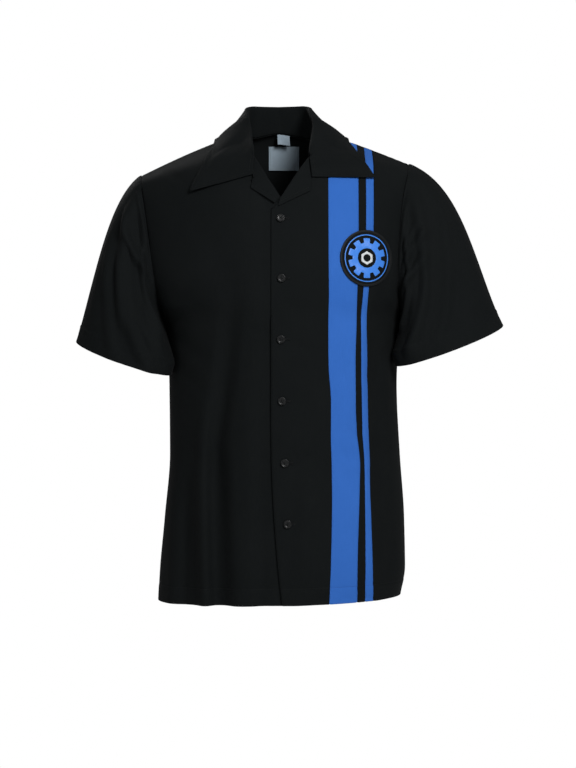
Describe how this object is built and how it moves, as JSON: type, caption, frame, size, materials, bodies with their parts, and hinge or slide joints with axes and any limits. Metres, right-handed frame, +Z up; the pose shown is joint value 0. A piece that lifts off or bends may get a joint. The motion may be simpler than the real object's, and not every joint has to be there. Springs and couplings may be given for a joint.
{
  "type": "short-sleeved mechanic shirt",
  "caption": "Short-sleeved black mechanic shirt with a camp collar, buttoned front, round chest patch and inset vertical blue stripes, held in its worn shape and hollow.",
  "frame": {"origin": "midway between the two neck points, at the level where the wearer's neck meets the shoulders, which hold the shirt up", "axes": "+Z up, the front faces -Y, so the wearer's left side is at +X"},
  "size_m": [0.6795, 0.2907, 0.7975],
  "materials": {
    "black_twill": "matte black woven cloth",
    "blue_twill": "matte royal blue woven cloth",
    "label_satin": "grey-blue woven satin, bare of text",
    "button_horn": "black, slightly glossy"
  },
  "bodies": {
    "root": {"front_right": "black_twill", "front_left_inner": "black_twill", "stripe_wide": "blue_twill", "stripe_gap": "black_twill", "stripe_narrow": "blue_twill", "front_left_outer": "black_twill", "back": "black_twill", "sleeve_right": "black_twill", "sleeve_left": "black_twill", "collar": "black_twill", "lapel_right": "black_twill", "lapel_left": "black_twill", "chest_patch": "black_twill", "neck_label": "label_satin", "button_1": "button_horn", "button_2": "button_horn", "button_3": "button_horn", "button_4": "button_horn", "button_5": "button_horn", "button_6": "button_horn"}
  },
  "joints": []
}
